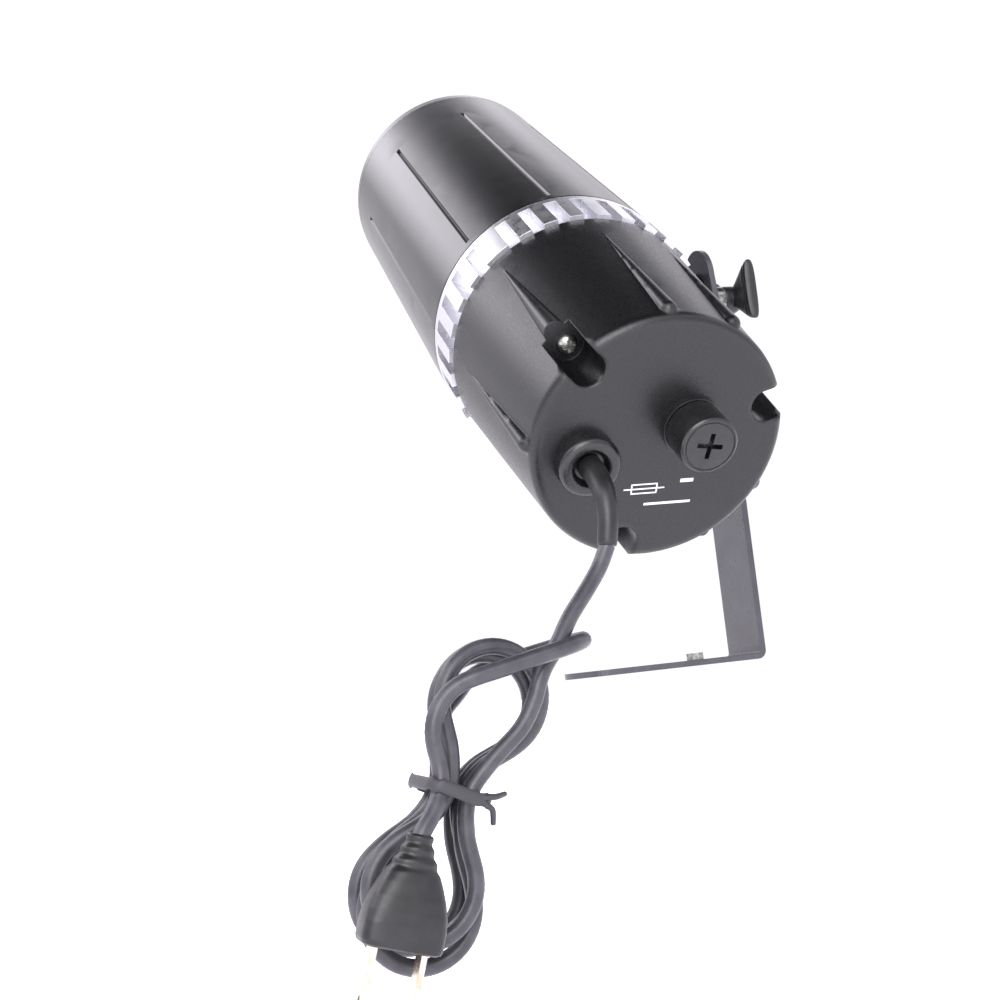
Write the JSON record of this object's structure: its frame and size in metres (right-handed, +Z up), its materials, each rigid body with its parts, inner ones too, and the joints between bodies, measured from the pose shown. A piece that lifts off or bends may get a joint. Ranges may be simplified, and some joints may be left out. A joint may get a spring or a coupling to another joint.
{
  "type": "light projector",
  "caption": "Tapered LED pattern projector with a finned heat sink ring, on a one-armed tilting bracket with a foot for a stake or wall, with a tied mains lead.",
  "frame": {"origin": "centre of the fixing hole on the underside of the bracket's foot, straight below the lamp's axis", "axes": "+X along the tilt axis towards the bracket's arm, +Y the way the light points, +Z up, along the bracket's arm"},
  "size_m": [0.1876, 0.2501, 0.3192],
  "materials": {
    "bracket_paint": "grey powder coat, satin",
    "zinc_steel": "zinc-plated steel",
    "knob_plastic": "moulded black nylon",
    "seal_rubber": "black silicone rubber",
    "inner_plastic": "moulded black plastic",
    "housing_plastic": "black ABS with a fine spark texture, semi-gloss",
    "shell_plastic": "polished black ABS",
    "sink_aluminium": "machined and cleaned aluminium",
    "clear_glass": "clear",
    "board_white": "white solder mask",
    "emitter_gel": "clear silicone over phosphor",
    "plate_paint": "black painted steel",
    "disc_coated": "aluminium-coated glass",
    "board_green": "green solder mask",
    "parts_plastic": "tape-wound transformer and capacitor sleeves",
    "holder_plastic": "moulded black phenolic",
    "fuse_nickel": "nickel-plated caps",
    "lead_pvc": "grey-black PVC",
    "plug_pvc": "moulded black PVC",
    "blade_nickel": "nickel-plated brass"
  },
  "bodies": {
    "bracket": {"bracket": "bracket_paint", "stake_nut": "zinc_steel"},
    "knob": {"tilt_stud": "zinc_steel", "tilt_knob": "knob_plastic", "knob_washer": "zinc_steel"},
    "lamp": {"friction_washer": "seal_rubber", "pivot_boss": "inner_plastic", "rear_housing": "housing_plastic", "housing_seal": "seal_rubber", "housing_screws": "zinc_steel", "heat_sink": "sink_aluminium", "shell_seal": "seal_rubber", "front_shell": "shell_plastic", "front_bezel": "shell_plastic", "glass_seal": "seal_rubber", "front_glass": "clear_glass", "led_board": "board_white", "led_emitter": "emitter_gel", "lens_holder": "inner_plastic", "collimator_lens": "clear_glass", "optics_posts": "zinc_steel", "motor_plate": "plate_paint", "disc_motor": "zinc_steel", "motor_screws": "zinc_steel", "lens_barrel": "inner_plastic", "projection_lens": "clear_glass", "driver_posts": "zinc_steel", "driver_board": "board_green", "driver_parts": "parts_plastic", "board_screws": "zinc_steel", "fuse_socket": "holder_plastic", "fuse_nut": "holder_plastic", "gland": "holder_plastic", "gland_nut": "holder_plastic", "supply_lead": "lead_pvc", "led_leads": "lead_pvc", "cord_sleeve": "lead_pvc", "mains_lead": "lead_pvc", "lead_hank": "lead_pvc", "hank_tie": "lead_pvc", "plug_tail": "lead_pvc", "plug": "plug_pvc", "plug_blades": "blade_nickel"},
    "pattern": {"motor_shaft": "zinc_steel", "pattern_disc": "disc_coated"},
    "fuse_drawer": {"fuse_carrier": "holder_plastic", "fuse_link": "fuse_nickel"},
    "fuse_cap": {"fuse_cap": "holder_plastic"}
  },
  "joints": [
    {"name": "lamp_tilt", "type": "hinge", "parent": "bracket", "child": "lamp", "pos_m": [0, 0, 0.13], "axis": [1, 0, 0], "range_deg": [-92, 42]},
    {"name": "knob_turn", "type": "hinge", "parent": "bracket", "child": "knob", "pos_m": [0.06, 0, 0.13], "axis": [1, 0, 0], "continuous": true},
    {"name": "pattern_spin", "type": "hinge", "parent": "lamp", "child": "pattern", "pos_m": [0, 0.027, 0.12906], "axis": [0, 0.7986, 0.6018], "continuous": true},
    {"name": "fuse_draw", "type": "slide", "parent": "lamp", "child": "fuse_drawer", "axis": [0, -0.7986, -0.6018], "range_m": [0, 0.034]},
    {"name": "fuse_cap_turn", "type": "hinge", "parent": "fuse_drawer", "child": "fuse_cap", "pos_m": [0.009, -0.08766, 0.0702], "axis": [0, -0.7986, -0.6018], "range_deg": [-90, 0]}
  ]
}
